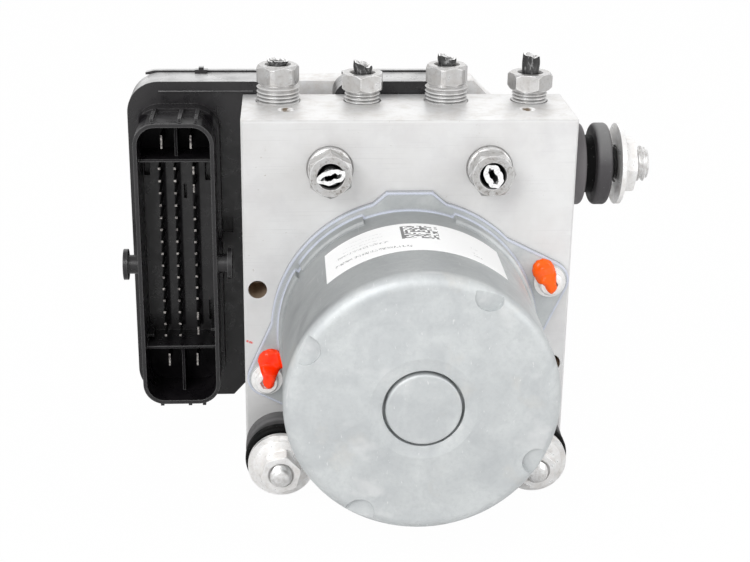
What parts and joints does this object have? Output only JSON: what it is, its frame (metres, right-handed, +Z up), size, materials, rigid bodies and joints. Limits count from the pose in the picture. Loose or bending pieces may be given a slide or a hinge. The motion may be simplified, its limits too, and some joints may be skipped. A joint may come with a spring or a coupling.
{
  "type": "abs brake module",
  "caption": "Anti-lock brake module: aluminium valve block with a round pump motor, capped brake-pipe nuts, rubber mounts and a black control unit with a tall connector.",
  "frame": {"origin": "centre of the valve block's bottom face", "axes": "+X to the right as seen from the motor, +Y from the motor towards the control unit, +Z up towards the brake-pipe ports"},
  "size_m": [0.1477, 0.1083, 0.1193],
  "materials": {
    "anodised_aluminium": "satin",
    "zinc_steel": "satin",
    "coated_pipe": "matte",
    "bright_pipe": "satin",
    "motor_steel": "satin",
    "red_lacquer": "gloss",
    "label_paper": "matte",
    "ferrite": "matte",
    "bearing_steel": "polished",
    "core_steel": "satin",
    "copper": "satin",
    "black_plastic": "matte",
    "carbon": "matte",
    "spring_steel": "satin",
    "tinned_brass": "satin",
    "glossy_black_plastic": "gloss",
    "cast_aluminium": "satin",
    "seal_rubber": "matte",
    "board_laminate": "satin",
    "piston_aluminium": "satin",
    "mount_rubber": "matte"
  },
  "bodies": {
    "body": {"valve_block": "anodised_aluminium", "tube_nuts_large_top": "zinc_steel", "tube_nuts_small_top": "zinc_steel", "tube_nuts_front": "zinc_steel", "pipe_stub_top_1": "coated_pipe", "pipe_stub_top_2": "coated_pipe", "pipe_stub_top_3": "coated_pipe", "pipe_stub_top_4": "coated_pipe", "pipe_end_front_left": "bright_pipe", "pipe_end_front_right": "bright_pipe", "motor_can": "motor_steel", "bearing_cup": "motor_steel", "motor_screws": "zinc_steel", "sealing_lacquer": "red_lacquer", "motor_label": "label_paper", "motor_magnets": "ferrite", "shaft_bearings": "bearing_steel", "brush_plate": "black_plastic", "carbon_brushes": "carbon", "brush_springs": "spring_steel", "motor_contact": "black_plastic", "motor_contact_pins": "tinned_brass", "pump_sleeves": "bearing_steel", "pump_plugs": "zinc_steel", "accumulator_caps": "zinc_steel", "valve_bodies": "bearing_steel", "solenoid_coils": "copper", "ecu_housing": "glossy_black_plastic", "ecu_cover": "cast_aluminium", "ecu_seal": "seal_rubber", "circuit_board": "board_laminate", "board_components": "black_plastic", "ecu_screws": "zinc_steel", "connector_terminals": "tinned_brass", "pump_spring_left": "spring_steel", "pump_spring_right": "spring_steel", "accumulator_spring_left": "spring_steel", "accumulator_spring_right": "spring_steel", "lower_grommets": "mount_rubber", "side_grommet": "mount_rubber", "mount_studs": "zinc_steel", "mount_washers": "zinc_steel", "flange_nuts": "zinc_steel"},
    "armature": {"armature_shaft": "bearing_steel", "armature_core": "core_steel", "armature_windings": "copper", "commutator": "copper", "eccentric_ring": "bearing_steel"},
    "pump_piston_left": {"pump_piston_left": "bearing_steel"},
    "accumulator_piston_left": {"accumulator_piston_left": "piston_aluminium"},
    "pump_piston_right": {"pump_piston_right": "bearing_steel"},
    "accumulator_piston_right": {"accumulator_piston_right": "piston_aluminium"},
    "inlet_plunger_1": {"inlet_plunger_1": "bearing_steel"},
    "outlet_plunger_1": {"outlet_plunger_1": "bearing_steel"},
    "inlet_plunger_2": {"inlet_plunger_2": "bearing_steel"},
    "outlet_plunger_2": {"outlet_plunger_2": "bearing_steel"},
    "inlet_plunger_3": {"inlet_plunger_3": "bearing_steel"},
    "outlet_plunger_3": {"outlet_plunger_3": "bearing_steel"},
    "inlet_plunger_4": {"inlet_plunger_4": "bearing_steel"},
    "outlet_plunger_4": {"outlet_plunger_4": "bearing_steel"}
  },
  "joints": [
    {"name": "armature_spin", "type": "hinge", "parent": "body", "child": "armature", "pos_m": [0, 0, 0.046], "axis": [0, 1, 0], "continuous": true},
    {"name": "pump_piston_left_slide", "type": "slide", "parent": "body", "child": "pump_piston_left", "axis": [-1, 0, 0], "range_m": [0, 0.0015], "stiffness_N_per_m": 1500, "springref_m": -0.002, "deforming": ["pump_spring_left"]},
    {"name": "accumulator_piston_left_slide", "type": "slide", "parent": "body", "child": "accumulator_piston_left", "axis": [0, 0, -1], "range_m": [0, 0.006], "stiffness_N_per_m": 2000, "springref_m": -0.003, "deforming": ["accumulator_spring_left"]},
    {"name": "pump_piston_right_slide", "type": "slide", "parent": "body", "child": "pump_piston_right", "axis": [1, 0, 0], "range_m": [0, 0.0015], "stiffness_N_per_m": 1500, "springref_m": -0.002, "deforming": ["pump_spring_right"]},
    {"name": "accumulator_piston_right_slide", "type": "slide", "parent": "body", "child": "accumulator_piston_right", "axis": [0, 0, -1], "range_m": [0, 0.006], "stiffness_N_per_m": 2000, "springref_m": -0.003, "deforming": ["accumulator_spring_right"]},
    {"name": "inlet_plunger_1_slide", "type": "slide", "parent": "body", "child": "inlet_plunger_1", "axis": [0, -1, 0], "range_m": [0, 0.0004], "stiffness_N_per_m": 1500, "springref_m": -0.0008},
    {"name": "inlet_plunger_2_slide", "type": "slide", "parent": "body", "child": "inlet_plunger_2", "axis": [0, -1, 0], "range_m": [0, 0.0004], "stiffness_N_per_m": 1500, "springref_m": -0.0008},
    {"name": "inlet_plunger_3_slide", "type": "slide", "parent": "body", "child": "inlet_plunger_3", "axis": [0, -1, 0], "range_m": [0, 0.0004], "stiffness_N_per_m": 1500, "springref_m": -0.0008},
    {"name": "inlet_plunger_4_slide", "type": "slide", "parent": "body", "child": "inlet_plunger_4", "axis": [0, -1, 0], "range_m": [0, 0.0004], "stiffness_N_per_m": 1500, "springref_m": -0.0008},
    {"name": "outlet_plunger_1_slide", "type": "slide", "parent": "body", "child": "outlet_plunger_1", "axis": [0, 1, 0], "range_m": [0, 0.0004], "stiffness_N_per_m": 1500, "springref_m": -0.0008},
    {"name": "outlet_plunger_2_slide", "type": "slide", "parent": "body", "child": "outlet_plunger_2", "axis": [0, 1, 0], "range_m": [0, 0.0004], "stiffness_N_per_m": 1500, "springref_m": -0.0008},
    {"name": "outlet_plunger_3_slide", "type": "slide", "parent": "body", "child": "outlet_plunger_3", "axis": [0, 1, 0], "range_m": [0, 0.0004], "stiffness_N_per_m": 1500, "springref_m": -0.0008},
    {"name": "outlet_plunger_4_slide", "type": "slide", "parent": "body", "child": "outlet_plunger_4", "axis": [0, 1, 0], "range_m": [0, 0.0004], "stiffness_N_per_m": 1500, "springref_m": -0.0008}
  ]
}
